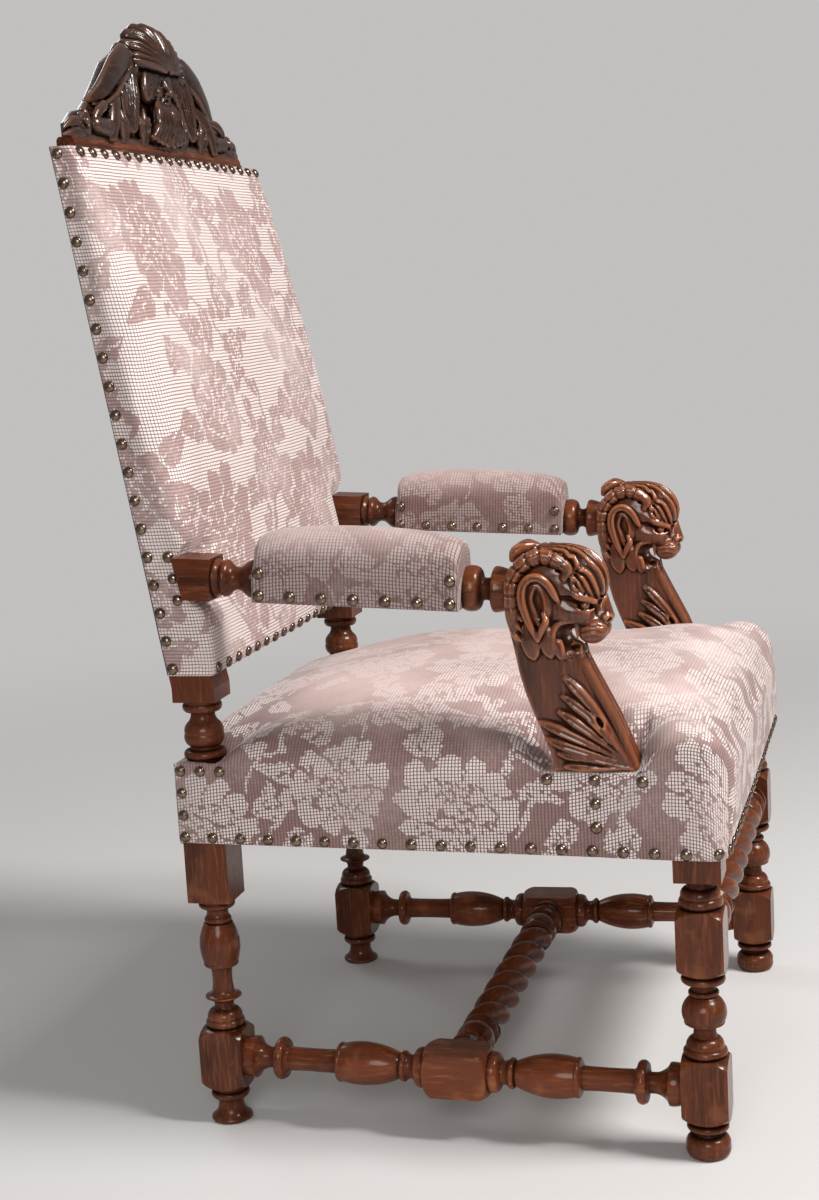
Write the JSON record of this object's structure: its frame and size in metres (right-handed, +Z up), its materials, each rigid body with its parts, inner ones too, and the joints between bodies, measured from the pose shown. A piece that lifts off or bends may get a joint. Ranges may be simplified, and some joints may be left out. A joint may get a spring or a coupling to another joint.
{
  "type": "ceremonial armchair",
  "caption": "High-backed ceremonial armchair with turned legs, rope-twist stretchers, lion-head arm supports, a carved crest and nailed velvet upholstery.",
  "frame": {"origin": "on the floor, in the middle of the overall width and depth", "axes": "+Z up, the sitter faces -Y, +X towards the sitter's left"},
  "size_m": [0.6676, 0.7162, 1.2607],
  "materials": {
    "walnut": "waxed dark walnut with a soft gloss",
    "beech": "plain frame beech, unpolished",
    "velvet": "dusty mauve ribbed velvet with a pale floral figure",
    "back_cloth": "plain woven cloth",
    "stuffing": "fibre stuffing",
    "hessian": "open jute canvas",
    "webbing": "herringbone jute webbing",
    "spring_steel": "drawn spring wire",
    "nail_brass": "antique domed brass"
  },
  "bodies": {
    "root": {"front_leg_left": "walnut", "front_leg_right": "walnut", "rear_post_left": "walnut", "rear_post_right": "walnut", "side_stretcher_left": "walnut", "side_stretcher_right": "walnut", "middle_stretcher": "walnut", "front_stretcher": "walnut", "arm_left": "walnut", "arm_right": "walnut", "arm_support_left": "walnut", "arm_support_right": "walnut", "crest": "walnut", "joint_pegs": "walnut", "crest_dowels": "walnut", "seat_rail_front": "beech", "seat_rail_rear": "beech", "seat_rail_left": "beech", "seat_rail_right": "beech", "seat_corner_blocks": "beech", "back_rail_top": "beech", "back_rail_bottom": "beech", "seat_cover": "velvet", "back_cover": "velvet", "arm_cover_left": "velvet", "arm_cover_right": "velvet", "outside_back": "back_cloth", "seat_stuffing": "stuffing", "back_stuffing": "stuffing", "arm_stuffing_left": "stuffing", "arm_stuffing_right": "stuffing", "seat_hessian": "hessian", "back_hessian": "hessian", "seat_webbing_lengthwise": "webbing", "seat_webbing_crosswise": "webbing", "back_webbing_across": "webbing", "back_webbing_upright": "webbing", "seat_springs": "spring_steel", "seat_nails": "nail_brass", "back_nails": "nail_brass", "arm_nails": "nail_brass"}
  },
  "joints": []
}
